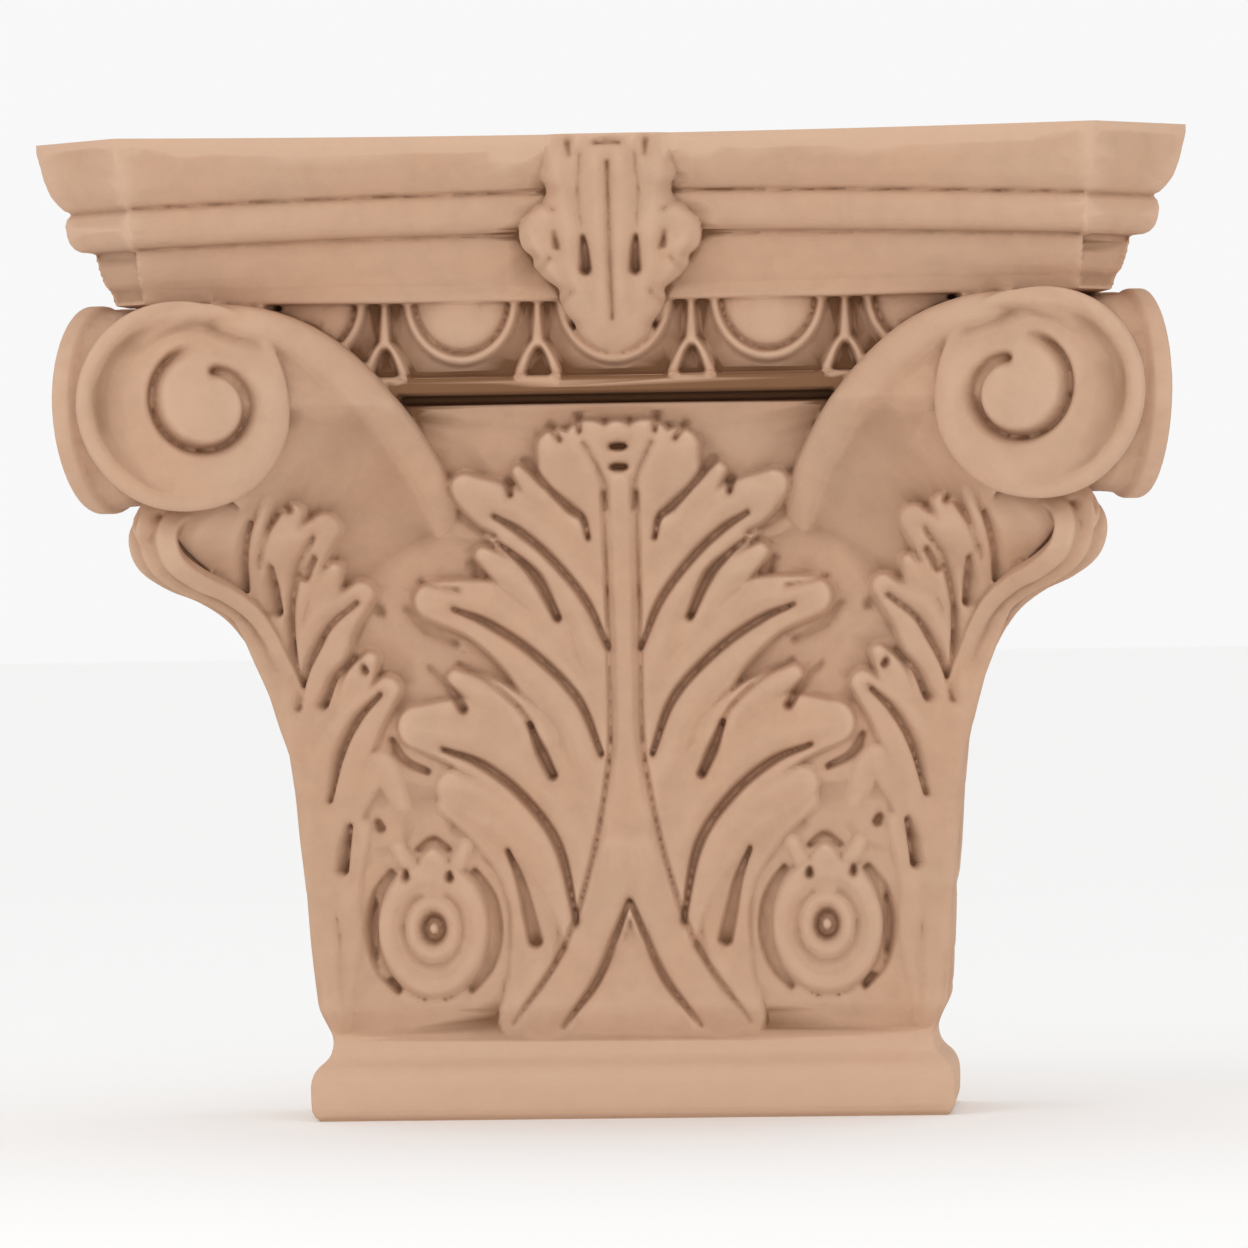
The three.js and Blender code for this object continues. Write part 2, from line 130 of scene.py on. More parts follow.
class Relief:
    """The height of a carving over a face, on a lattice of places (x, z)."""

    def __init__(self, x, z):
        self.x = x
        self.z = z
        self.height = np.zeros_like(x)

    def near(self, line, widths, margin=0.0):
        """The places near a line: which they are, how far from the line, its width and run there."""
        curve = smooth_line(line)
        half = spread(widths, len(curve))
        reach = max(widths) + margin
        found = (self.x > curve[:, 0].min() - reach) & (self.x < curve[:, 0].max() + reach)
        found &= (self.z > curve[:, 1].min() - reach) & (self.z < curve[:, 1].max() + reach)
        x = self.x[found]
        z = self.z[found]
        edge = np.full(x.shape, 1e6)
        width = np.ones(x.shape)
        run = np.zeros(x.shape)
        for i, (start, end) in enumerate(zip(curve, curve[1:])):
            step = end - start
            t = ((x - start[0]) * step[0] + (z - start[1]) * step[1]) / max(step @ step, 1e-9)
            t = np.clip(t, 0, 1)
            here = half[i] + (half[i + 1] - half[i]) * t
            past = np.hypot(x - start[0] - t * step[0], z - start[1] - t * step[1]) - here
            closer = past < edge
            edge = np.where(closer, past, edge)
            width = np.where(closer, here, width)
            run = np.where(closer, (i + t) / (len(curve) - 1), run)
        return found, edge, width, run

    def pad(self, line, widths, rises, side=1.6, crown=0.5):
        """Raises a leaf's flesh along a line: steep at its sides and crowned between them."""
        found, edge, width, run = self.near(line, widths)
        rise = np.interp(run, np.linspace(0, 1, len(rises)), rises)
        wall = 1 - (1 - np.clip(-edge / side, 0, 1)) ** 2
        round_top = 1 - np.clip(1 + edge / width, 0, 1) ** 2
        top = np.where(edge < 0, (RELIEF * rise + crown * round_top) * wall, 0)
        self.height[found] = np.maximum(self.height[found], top)

    def roll(self, line, widths, rise):
        """Adds a soft ridge on top of what is there."""
        found, edge, width, run = self.near(line, widths, 2 * max(widths))
        far = (edge + width) / width
        ends = ease(4 * run + 0.3) * ease(4 * (1 - run) + 0.3)
        self.height[found] += ROLL * rise * np.exp(-far ** 2) * ends

    def cut(self, line, widths, depth, shoulder=0.7, floor=-1.2):
        """Cuts a groove along a line, with a hollow shoulder on both sides of it."""
        reach = 3.0
        found, edge, width, _ = self.near(line, widths, reach * max(widths))
        far = (edge + width) / width
        deep = depth * (1 - np.clip(far, 0, 1) ** 2) ** 1.5
        soft = shoulder * np.exp(-(far / reach * 1.6) ** 2)
        lower = np.maximum(self.height[found] - soft - deep, floor)
        self.height[found] = np.minimum(self.height[found], lower)

    def soften(self, times):
        """Wears the carving smooth."""
        for _ in range(times):
            padded = np.pad(self.height, 1, mode="edge")
            self.height = (padded[:-2, 1:-1] + padded[2:, 1:-1] + padded[1:-1, :-2] + padded[1:-1, 2:]
                           + 4 * padded[1:-1, 1:-1]) / 8


# ---- the leaves, in places (across, up) on the right half of a face -------------------------------

RELIEF = 0.84           # how much of their full height the leaves stand out by
ROLL = 0.75             # how much of their full height the soft ridges stand up by
GROUND = 2.4            # how far the ground between the feet of the leaves stands out from the bell
GROUND_TOP = 112.0      # where the ground has run out into the bell
GROUND_RUN = 26.0       # over how much height
CARVING_FOOT = 19.0     # the carving starts above the foot moulding
CARVING_RUN = 11.0      # and is whole after this much
TIP_LEAN = 6.0          # how far the tips of the corner leaves lean out under the volutes


def carve_middle_leaf(face):
    """The big leaf up the middle: a stem, three lobes to a side and a crown."""
    face.pad([(3, 98), (8, 122), (17, 140), (29, 151), (38, 157)], [4, 8, 10, 7.6, 4.6], [4.8, 5, 5.4, 6])
    face.pad([(14, 148), (20, 156), (24.5, 161)], [5, 4.4, 2.6], [5, 5.6])
    face.pad([(4, 74), (8, 97), (18, 115), (33, 126.5), (47.5, 130)], [4, 10, 12, 8.6, 5.4], [4.8, 5, 5.4])
    face.pad([(18, 127), (28, 136), (34.5, 141)], [6, 4.6, 2.8], [5, 5.4])
    face.pad([(8, 48), (11, 70), (22, 87), (38, 96.5), (52, 99)], [5, 10, 12, 10, 6.2], [4.6, 4.8, 5.2])
    face.pad([(22, 96), (33, 105.5), (42.5, 111)], [7, 5.2, 3], [4.8, 5.2])
    face.pad([(13, 44), (18, 62), (31, 76), (44, 84)], [4, 7, 8, 5], [4.2, 4.4])
    face.pad([(31, 24), (25, 40), (25, 58), (34, 72), (45, 80)], [4, 6.4, 7, 6, 4], [3.4, 3.8])
    face.pad([(0, 130), (3, 150), (7, 167)], [4, 8, 7.2], [5, 5.4, 6.6])
    face.pad([(6, 140), (12, 156), (15, 166.5)], [5, 8, 5.6], [5, 5.6, 6.6])
    face.pad([(0, 150), (0, 169)], [6, 5], [5.4, 6.8])
    # the folds that stand up between the grooves
    face.roll([(7, 112), (13, 129), (23, 141), (34, 149.5)], [2.6, 3, 2.6, 2], 1.1)
    face.roll([(8, 128), (16, 143), (28, 154), (37, 158)], [2.4, 3.2, 3, 2.4], 0.9)
    face.roll([(8, 84), (15, 101), (27, 114), (44, 123.5)], [2.8, 3.4, 3.4, 2.6], 1.2)
    face.roll([(10, 104), (19, 118), (32, 128.5), (48, 132)], [2.4, 3.2, 3.2, 2.6], 0.9)
    face.roll([(15, 46), (18, 62), (29, 77), (47, 89)], [2.8, 3.6, 3.8, 2.8], 1.3)
    face.roll([(12, 66), (21, 83), (36, 94.5), (53, 99.5)], [2.6, 3.6, 3.8, 3], 1)
    face.roll([(19, 93), (27, 103), (41, 110.5)], [2, 2.6, 2], 0.8)
    face.roll([(14, 119), (22, 131), (33, 139.5)], [2, 2.4, 1.8], 0.8)
    face.roll([(29, 27), (21.5, 42), (22, 58), (31, 72), (42, 79)], [1.6, 2.4, 2.6, 2.4, 1.6], 0.9)
    # the grooves that run down each lobe into the stem
    face.cut([(31.5, 150.6), (25, 146.6), (17.6, 140), (9.4, 129.6), (4.2, 118)],
             [0.7, 1.5, 1.5, 1.4, 0.8], 4.4)
    face.cut([(42.5, 128), (34, 124.4), (22.6, 116.6), (12, 105.4), (6.4, 91.6)],
             [0.7, 1.5, 1.6, 1.5, 0.9], 4.6)
    face.cut([(46.5, 93.6), (36.5, 89.6), (26, 81), (17.6, 68.6), (13.4, 49)], [0.7, 1.6, 1.7, 1.6, 0.9], 4.8)
    # the eyes between the lobes, each with the notch that leads to it
    face.cut([(23, 163.4), (17.4, 157), (12.6, 152.4), (9.4, 149.6), (8.2, 144.6)],
             [1.7, 1.1, 1.7, 1.1, 0.7], 4.6)
    face.cut([(31, 144.2), (26.4, 140.6), (21.4, 135.4), (16.6, 125.4)], [0.7, 1.1, 2, 1.4], 5.2)
    face.cut([(42, 114.4), (34, 110), (27, 103.6), (24, 99)], [0.6, 0.9, 0.9, 0.8], 1.8)
    face.cut([(24.4, 99.6), (21.6, 92.6), (18.8, 86.6)], [0.9, 1.9, 1.6], 5.4, floor=-2)
    face.cut([(30.6, 68), (27.6, 60.6), (25.6, 52), (24, 45)], [0.7, 1.4, 2, 2.3], 5, floor=-2)
    face.cut([(27.6, 158.6), (27, 155.6)], [1.5, 1], 4.4)
    face.cut([(37.8, 139), (36.8, 136.2)], [1.4, 0.9], 4)
    face.cut([(41, 132.6), (50.5, 134.6)], [0.5, 0.7], 1.5)
    face.cut([(41, 103.4), (44.4, 108.4), (49.4, 113.4)], [1.7, 1.3, 0.8], 4.2)
    # the shadows cut in under the tips
    face.cut([(43.6, 160), (41.2, 152.4), (37, 148.4), (31.5, 145.6)], [1.2, 1.5, 1.3, 0.8], 4.4)
    face.cut([(54.4, 128), (50, 123), (42.6, 119.4)], [1, 1.4, 1], 4)
    face.cut([(59.4, 96), (56.4, 91), (50.4, 88)], [1, 1.4, 1], 4)
    # the crown: three fingers to a side and a row of drilled holes
    face.cut([(9.6, 175), (9.2, 170.6)], [1.2, 0.8], 3)
    face.cut([(16.6, 172.4), (14, 168.6)], [1.2, 0.8], 3)
    face.cut([(3, 152), (4.4, 160), (8.4, 168)], [0.7, 1, 0.6], 1.3)
    for z in (157.6, 162, 167):
        face.cut([(0, z), (1.6, z)], [1.4, 1.1], 5.4)


def carve_stem(face):
    """The stem of the middle leaf, which parts into two bands at its foot."""
    face.pad([(0, 158), (0, 120), (0, 98), (0, 83), (0, 66)], [3.7, 3.3, 3.3, 4.8, 8], [6.4, 6.2, 6, 5.4])
    face.pad([(1, 68), (4, 56), (10.4, 42), (22, 23)], [7, 6.6, 6.2, 7], [5.4, 5, 4.4, 3], crown=1.2)
    face.cut([(4.2, 156), (3.9, 121), (3.9, 98), (5.4, 84), (9.6, 64), (17, 43), (30, 24)],
             [0.7, 0.8, 0.9, 0.9, 0.9, 1, 0.8], 2.1, shoulder=0.3)
    face.cut([(0.2, 55), (3.8, 46), (9, 34.6), (17.5, 23)], [0.8, 1.4, 1.4, 1], 4.4)


def carve_oval(face):
    """The ringed oval between two leaves, with its trefoil bud."""
    centre = (49.6, 48.4)
    across = (face.x - centre[0]) / 0.8
    up = face.z - centre[1]
    far = np.hypot(across, up)
    # rings, as (distance from the centre, height)
    rings = [(0, 3.4), (1.3, 3), (1.9, 0.2), (2.8, -0.6), (3.6, 0.8), (4.6, 3.8), (6, 4.4), (7.4, 4.2),
             (8.8, 2.9), (10.4, 3.5), (13, 4.2), (16, 4), (17.6, 2.4), (18.6, -0.4), (20.2, -0.8), (21.4, 0)]
    shield = np.interp(far, [r for r, _ in rings], [h for _, h in rings])
    face.height = np.where(far < 18.4, np.maximum(shield, 0), face.height)
    for low, high in ((-54, 48), (132, 234)):
        angles = np.linspace(math.radians(low), math.radians(high), 6)
        arc = [(centre[0] + 15.6 * math.cos(a), centre[1] + 19.4 * math.sin(a)) for a in angles]
        face.cut(arc, [1, 1.8, 2, 1.8, 1], 5, floor=-1.6)
    face.pad([(49.4, 60), (49.4, 64.5), (49.4, 67)], [5.4, 4.4, 2.6], [3.8, 4.6])
    face.pad([(43.4, 64.6), (41.4, 69)], [3, 2.6], [3.4])
    face.pad([(55.6, 65), (58, 69)], [3, 2.6], [3.4])
    face.cut([(45.6, 68.4), (49.4, 70.6), (53.2, 68.4)], [1, 1.5, 1], 3.6)
    for place in ((45.4, 61), (56.4, 61.4)):
        face.cut([place, (place[0], place[1] + 1.4)], [1.5, 1], 3.4)
    for place in ((43.4, 75), (33.6, 66.4), (62.6, 74)):
        face.cut([place, (place[0] + 0.6, place[1] + 1.4)], [1.6, 1.2], 3.8)


def carve_corner_leaf(face):
    """The half of a corner leaf that this face shows, curling up towards the horn."""
    face.pad([(73.6, 24), (76.6, 60), (77, 86), (81, 106), (91, 124), (99, 134), (106, 142)],
             [3, 4.6, 5.4, 6.4, 7.6, 8.6, 7], [3.4, 3.8, 4.2, 4.6, 4.6, 4.4])
    face.pad([(76, 60), (73.6, 84), (68, 98), (59.6, 108.6)], [4.6, 7.4, 6.6, 3.8], [4, 4.4, 4.8])
    face.pad([(71, 98), (67, 110), (63.6, 116)], [5, 4.4, 2.6], [4.4, 4.8])
    face.pad([(78, 86), (78.6, 107), (74, 122), (65, 132)], [4.6, 7.6, 6.8, 3.8], [4.2, 4.6, 5])
    face.pad([(76, 118), (73.6, 132), (71, 138)], [5, 4.2, 2.4], [4.6, 5])
    face.pad([(83, 104), (86, 122), (81, 138), (72, 148.5)], [5, 7.6, 7.2, 4], [4.4, 4.8, 5.2])
    face.pad([(85, 128), (83, 142), (79, 152)], [5, 4.6, 3], [4.8, 5.2])
    face.pad([(93, 120), (96.6, 136), (94, 147), (87, 157)], [6, 9, 8.4, 5], [4.6, 5, 5.4])
    face.pad([(96, 126), (102, 138), (104, 148), (100, 158)], [4, 7, 8, 7], [4, 4.6, 4.6])
    face.roll([(97, 124), (100.6, 136), (99, 146), (93, 154)], [1.6, 2.2, 2.2, 1.6], 1)
    face.cut([(106.6, 151), (104, 144), (99.6, 137.4), (95.4, 128)], [1.4, 1.3, 1, 0.6], 3)
    face.pad([(71.6, 24), (69.6, 45), (70.4, 60), (67, 74)], [2.4, 3.4, 4.4, 3.4], [2.6, 3.4, 3.6])
    face.pad([(57, 80), (62, 89), (68, 82), (70, 72)], [3, 5, 4.6, 3.6], [3, 3.6, 3.6])
    face.roll([(78, 62), (77.4, 86), (71, 100), (62, 109.5)], [1.8, 2.6, 2.6, 1.8], 1)
    face.roll([(81, 92), (82, 110), (77.4, 125), (67, 133)], [1.8, 2.6, 2.6, 1.8], 1)
    face.roll([(86, 108), (90, 124), (85, 140), (74.6, 149.6)], [1.8, 2.8, 2.8, 1.8], 1)
    face.cut([(61.4, 107.4), (67, 101.6), (71.4, 93), (74, 81)], [0.7, 1.4, 1.5, 0.8], 4.2)
    face.cut([(66, 130), (72.4, 125), (76, 119.6), (79.6, 112), (80.6, 104)], [0.6, 0.9, 1.3, 1.4, 0.8], 4)
    face.cut([(75, 146), (79.6, 138.6), (82, 128.6), (81.6, 118), (81, 110)], [0.6, 1.1, 1.3, 1.3, 0.8], 3.6)
    face.cut([(86.4, 155), (90.4, 145), (92.2, 136), (91.4, 129)], [0.7, 1.3, 1.5, 0.8], 4.2)
    face.cut([(68, 116.6), (72.4, 112), (75.4, 105)], [0.9, 1.3, 1.7], 4.4, floor=-1.6)
    face.cut([(75.6, 141), (78.4, 136.6)], [1.1, 1.7], 4)
    face.cut([(85.6, 139), (85.8, 133.6), (85.2, 128)], [0.8, 1.9, 1.8], 4.6, floor=-1.6)
    face.cut([(69.6, 74.6), (70.8, 70), (71.6, 63.6)], [0.8, 1.6, 1.8], 4.4, floor=-1.6)
    for place in ((65, 113), (58.4, 93), (55.4, 104.6), (61, 127.4), (80, 152.6)):
        face.cut([place, (place[0] + 0.4, place[1] + 1.2)], [1.3, 1], 3)


def carve_face(x, z):
    """All the leaf carving of one face of the bell."""
    face = Relief(np.abs(x), z)
    face.height = GROUND * ease((GROUND_TOP - z) / GROUND_RUN)
    carve_corner_leaf(face)
    carve_oval(face)
    carve_middle_leaf(face)
    carve_stem(face)
    face.soften(1)
    # the tips of the corner leaf lean out to the underside of the volute
    lean = TIP_LEAN * ease((z - 134) / 15) * ease((np.abs(x) - 64) / 16)
    return face.height * ease((z - CARVING_FOOT) / CARVING_RUN) + lean


EGG_PITCH = 37.3        # from the middle of one egg to the next
SHELL_HALF = 13.4       # half the width of a shell
SHELL_DROP = 15.2       # from the abacus down to the foot of a shell
ROW_HALF = 80.0         # the row of eggs ends this far from the middle of the face


def carve_echinus(x, z):
    """Eggs in their shells, with a dart between each two, and the ends of the row."""
    row = Relief(x, z)
    top = ABACUS_UNDERSIDE + 0.5
    for step in range(3):
        for side in (-1, 1):
            middle = side * step * EGG_PITCH
            far = np.hypot((x - middle) / SHELL_HALF, (z - top) / SHELL_DROP)
            shell = np.interp(far, [0.86, 0.91, 0.97, 1.03, 1.08], [0, 4.4, 4.8, 4, 0])
            egg = 5 * np.sqrt(np.clip(1 - (far / 0.84) ** 2, 0, 1)) + 0.8 * (far < 0.82)
            row.height = np.maximum(row.height, np.maximum(shell, egg))
            dart = side * (step + 0.5) * EGG_PITCH
            row.pad([(dart, top), (dart, 198), (dart, 193)], [1.3, 1.5, 1.9], [4.4, 5.4], side=1)
            for lean in (-1, 1):
                row.pad([(dart, 194), (dart + 2.6 * lean, 190), (dart + 4.6 * lean, 185)], [1.1, 1.3, 1.6],
                        [5, 5.4], side=0.9)
    row.soften(1)
    return row.height


# ---- surfaces, each an array of rows of places ----------------------------------------------------

def bell_face(share, rows):
    """One face of the neck and bell with its carving, from the foot to inside the abacus."""
    z = np.linspace(-BEYOND, ABACUS_UNDERSIDE + 1.5, rows)
    middle = read(FOOT + BELL_MIDDLE[1:], z)
    corner = read(FOOT + BELL_CORNER[1:], z)
    gap = ease((z - (FILLET_FOOT - SHADOW_GAP)) / 0.8)
    middle = middle + (GAP_HALF - middle) * gap
    corner = corner + (GAP_HALF - corner) * gap
    fillet = ease((z - FILLET_FOOT) / 0.6)
    middle = middle + (FILLET_HALF - middle) * fillet
    corner = corner + (FILLET_HALF - corner) * fillet
    back = ease((z - FILLET_TOP) / 0.7) * (FILLET_HALF - ECHINUS_HALF)
    middle = middle - back
    corner = corner - back
    share = np.broadcast_to(share, (rows, len(share)))
    z = np.broadcast_to(z[:, None], share.shape)
    swing = np.abs(share) ** 3
    half = middle[:, None] + (corner - middle)[:, None] * swing
    x = share * corner[:, None]
    height = np.where(z < FILLET_FOOT - 4, carve_face(x, z), 0)
    row = carve_echinus(x, z) * ease((z - FILLET_TOP + 0.4) / 0.8) * (np.abs(x) < ROW_HALF)
    height = height + row
    lean = np.sign(share) * np.abs(share) ** 8
    long = np.hypot(lean, 1)
    points = np.stack([x + height * lean / long, -half - height / long, z], axis=-1)
    axis = np.zeros_like(points)
    axis[..., 2] = points[..., 2]
    points = np.concatenate([axis[:, :1], points, axis[:, -1:]], axis=1)
    cap_low = np.zeros_like(points[:1])
    cap_low[..., 2] = points[0, 0, 2]
    cap_high = np.zeros_like(points[:1])
    cap_high[..., 2] = points[-1, 0, 2]
    return np.concatenate([cap_low, points, cap_high])


def capped(points):
    """A tube of rings shut at both ends by a fan to the middle of the end ring."""
    first = np.broadcast_to(points[0].mean(axis=0), points[:1].shape)
    last = np.broadcast_to(points[-1].mean(axis=0), points[:1].shape)
    return np.concatenate([first, points, last])


def abacus_surface(steps):
    """The hollow-sided slab with cut horns, its mouldings mitred round the plan."""
    reach = DRAWN_HALF - HORN_CUT
    share = np.linspace(-1, 1, steps + 1)
    outline = []
    for quarter in range(4):
        side = np.stack([share * reach, -(DRAWN_HALF - ABACUS_HOLLOW * (1 - share ** 2))], axis=-1)
        angle = quarter * math.pi / 2
        turn = np.array([[math.cos(angle), math.sin(angle)], [-math.sin(angle), math.cos(angle)]])
        outline.append(side @ turn)
    outline = np.concatenate(outline)
    forward = np.roll(outline, -1, axis=0) - outline
    forward /= np.linalg.norm(forward, axis=1)[:, None]
    normal = np.stack([forward[:, 1], -forward[:, 0]], axis=-1)
    before = np.roll(normal, 1, axis=0)
    mitre = (normal + before) / (1 + (normal * before).sum(axis=1))[:, None]
    near = (np.abs(outline).max(axis=1) - (DRAWN_HALF - ABACUS_HOLLOW)) / ABACUS_HOLLOW
    rings = []
    for z, inset in ABACUS_PROFILE:
        dip = ease((z - 205) / 8) * ease((DRAWN_HEIGHT - 2 - z) / 8)
        droop = HORN_DROOP * np.clip(near, 0, 1) * dip
        ring = outline - inset * mitre
        rings.append(np.column_stack([ring, z - droop]))
    points = np.stack(rings)
    points = np.concatenate([points, points[:, :1]], axis=1)
    return capped(points)


# the edge of the volute's coil as it winds in, one value every eighth of a turn from the top
COIL = [25.4, 29.6, 30.8, 28.8, 24.6, 22, 20.6, 18.6, 15.4, 13.8, 12, 10.9, 10.3, 10.4, 10.6, 10, 8.6]
# the middle of the volute's knob: across, out from the plan centre and up
VOLUTE_ACROSS = 98.2
VOLUTE_OUT = 125.0
VOLUTE_LEVEL = 177.4
VOLUTE_TURN = 0.28      # how far its face is turned in towards the middle, in radians
# its side, as (how far in from the outline, how far forward)
VOLUTE_SIDE = [(0, -0.4), (0, -2.6), (0.5, -3.3), (1.2, -4), (1.6, -6), (1.8, -9), (1.8, -36)]
# what happens along its turn, each as (share where it starts, share it takes)
CLOSING = (0.72, 0.28)      # the outline goes back to where it began
ROUNDING = (0.2, 0.34)      # the hollow band becomes a full round
RISING = (0.4, 0.3)         # the round stands up towards the knob
REJOINING = (0.76, 0.22)    # the band runs back into the stalk


def coil(wound):
    """Edge of the coil after so many turns from its top."""
    line = smooth_line([(i / 8, r) for i, r in enumerate(COIL)])
    return np.interp(wound, line[:, 0], line[:, 1])


def on_volute(across, up, out):
    """Places on the right volute from places in its own turned face."""
    cos = math.cos(VOLUTE_TURN)
    sin = math.sin(VOLUTE_TURN)
    return np.stack([
        VOLUTE_ACROSS + across * cos - out * sin,
        -VOLUTE_OUT - across * sin - out * cos,
        VOLUTE_LEVEL + up,
    ], axis=-1)


# the face of the volute straight up from its middle, as (distance, height): the knob, the hollow
# of the stalk and its rim
VOLUTE_FACE = [(0, 3.6), (4, 3.5), (8, 2.9), (12, 2), (16, 1), (19.4, 0.2), (20.6, 0.6), (22, 1.9),
               (24, 2.2), (26, 1.2)]


def during(wound, span):
    """How far along the volute's turn a change has come, from 0 to 1."""
    return ease((wound - span[0]) / span[1])


def volute_surface(columns, rows):
    """The coiled scroll: a hollow band with a rim that rounds over as it winds in to its knob."""
    wound = np.linspace(0, 1, columns + 1)[None, :]
    edge = coil(wound)
    outline = edge + (COIL[0] - edge) * during(wound, CLOSING)
    second = coil(wound + 1)
    share = np.linspace(0, 1, rows)[:, None] ** 0.9
    radius = share * outline
    upright = smooth_line(VOLUTE_FACE)
    joined = np.interp(radius, upright[:, 0], upright[:, 1])
    # across the outer band: 0 at the groove and 1 at the edge
    band = np.clip((radius - second) / (outline - second), 0, 1)
    rim = 0.6 + 0.16 * ease(wound * 4)
    along = np.where(band < rim, band / rim * 0.6, 0.6 + 0.4 * (band - rim) / (1 - rim))
    hollow = np.interp(along, [0, 0.1, 0.3, 0.5, 0.6, 0.68, 0.8, 0.93, 1],
                       [1, 1, 0, -0.5, -0.2, 1, 1.9, 1.7, 0.8])
    full = 2.6 * np.sqrt(np.clip(1 - (2 * band - 1) ** 2, 0, 1)) + 0.8
    turning = during(wound, ROUNDING)
    out = hollow * (1 - turning) + full * turning + 0.8 * during(wound, RISING)
    out = np.where(radius < second, joined, out)
    # the band starts and ends as one with the stalk over the knob
    merged = np.maximum(1 - ease(wound / 0.16), during(wound, REJOINING))
    out = out + (joined - out) * merged
    groove = np.exp(-((radius - second) / 1.25) ** 2)
    out = out - 5 * groove * ease((wound - 0.01) / 0.1) * ease((0.995 - wound) / 0.05)
    turn = math.pi / 2 - 2 * math.pi * wound
    faces = on_volute(radius * np.cos(turn), radius * np.sin(turn), out)
    # the side, a fillet and then a shallow hollow that runs back to the mitre
    sides = []
    for shrink, back in VOLUTE_SIDE:
        ring = outline - shrink
        sides.append(on_volute(ring * np.cos(turn), ring * np.sin(turn), back + 0 * ring))
    points = np.concatenate([faces] + sides)
    points[:, -1] = points[:, 0]
    end = np.broadcast_to(points[-1:].mean(axis=1, keepdims=True), points[-1:].shape)
    return np.concatenate([points, end])


# the stalk behind the volute, as (rim x, rim z, rim out, inner x, inner z, inner out), where each out
# is how far it stands in front of the bell
STALK = [(48, 126, -4, 60, 94, -4), (43, 139, -2.4, 64, 108, -1), (40.4, 150, 0.4, 69, 120, 4),
         (42, 159, 3, 75, 131, 8.6), (46.4, 168.6, 5.8, 82, 141, 14), (53, 179, 9.4, 88.6, 149, 20.4),
         (62.4, 189.4, 14.4, 94, 155, 27), (72.6, 197, 19, 98, 161, 29), (85, 201.6, 23.2, 101, 168, 28),
         (98, 203, 24.2, 103, 176, 26)]
# across the stalk from its rim: share of the way, height
STALK_SECTION = [(0, -2.5), (0.012, -0.4), (0.04, 0.9), (0.09, 1.6), (0.15, 1.6), (0.19, 1), (0.23, 0.1),
                 (0.3, -0.5), (0.45, -0.9), (0.66, -1.2), (0.82, -1.4), (1, -1.6)]
STALK_BACK = 70.0       # its hidden back, out from the plan centre


def stalk_surface(rows, columns):
    """The broad hollow stalk that sweeps from between the leaves into the top of the volute."""
    stations = smooth_line(STALK, max(2, rows // (len(STALK) - 1)))
    share = np.linspace(0, 1, columns)
    section = smooth_line(STALK_SECTION)
    lift = np.interp(share, section[:, 0], section[:, 1])
    x = stations[:, 0:1] + (stations[:, 3:4] - stations[:, 0:1]) * share
    z = stations[:, 1:2] + (stations[:, 4:5] - stations[:, 1:2]) * share
    forward = stations[:, 2:3] + (stations[:, 5:6] - stations[:, 2:3]) * share ** 1.4
    middle = read(BELL_MIDDLE, np.minimum(z, 178))
    fade = ease(np.linspace(0, 1, len(stations)) * 2.4)[:, None]
    y = -middle - forward - lift * fade
    front = np.stack([x, y, z], axis=-1)
    back = front[:, ::-1].copy()
    back[..., 1] = -STALK_BACK
    points = np.concatenate([front, back[:, :1], back[:, -1:], front[:, :1]], axis=1)
    return capped(points)


# the curled tip of a corner leaf, in the upright plane of the diagonal:
# (out along x and y alike, height, half width across, half thickness)
CURL = [(80, 96, 3.6, 2.4), (84, 107, 4.6, 2.6), (88, 116, 5.6, 2.8), (91.4, 123, 6.4, 2.8),
        (95.4, 128.6, 7.2, 3), (101, 133, 8, 3.2), (107.4, 136.4, 8.6, 3.6), (112.4, 140.8, 9, 3.8),
        (113.6, 146.4, 8.8, 3.6), (111, 150.6, 8, 3.2), (105, 152, 7, 2.8)]


def curl_surface(rows, columns):
    """The tip of the right corner leaf, bent over under the volute."""
    path = smooth_line(CURL, max(2, rows // (len(CURL) - 1)))
    along = np.gradient(path[:, :2] * [math.sqrt(2), 1], axis=0)
    along /= np.linalg.norm(along, axis=1)[:, None]
    turn = np.linspace(0, 2 * math.pi, columns + 1)
    across = path[:, 2:3] * np.cos(turn)
    lobes = 0.86 + 0.26 * np.cos(3 * math.pi * np.cos(turn))
    thick = path[:, 3:4] * np.sin(turn) * lobes
    out = path[:, 0:1] * math.sqrt(2) - along[:, 1:2] * thick
    z = path[:, 1:2] + along[:, 0:1] * thick
    root = math.sqrt(0.5)
    x = (out + across) * root
    y = -(out - across) * root
    return capped(np.stack([x, y, z], axis=-1))


# the outline of the fleuron, as (height, half width)
FLEURON_OUTLINE = [(189.6, 0.5), (191, 5.2), (194, 8.4), (197, 9.4), (199.6, 11.4), (203, 12.8),
                   (205.4, 12.8), (208, 16), (211, 18.6), (213.2, 18.8), (215.6, 21.2), (219, 22), (222.4, 21),
                   (225.4, 17.8), (228, 15.4), (230.4, 15.2), (233, 16.6), (238, 16.6), (243.5, 15.8)]
# its face, as (height, out from the plan centre)
FLEURON_FACE = [(189.6, 105), (193, 108.6), (198, 112), (206, 115.4), (214, 118), (222, 120.2),
                (230, 121.8), (238, 123.6), (243.5, 124.8)]
FLEURON_BACK = 99.0     # its hidden back, out from the plan centre


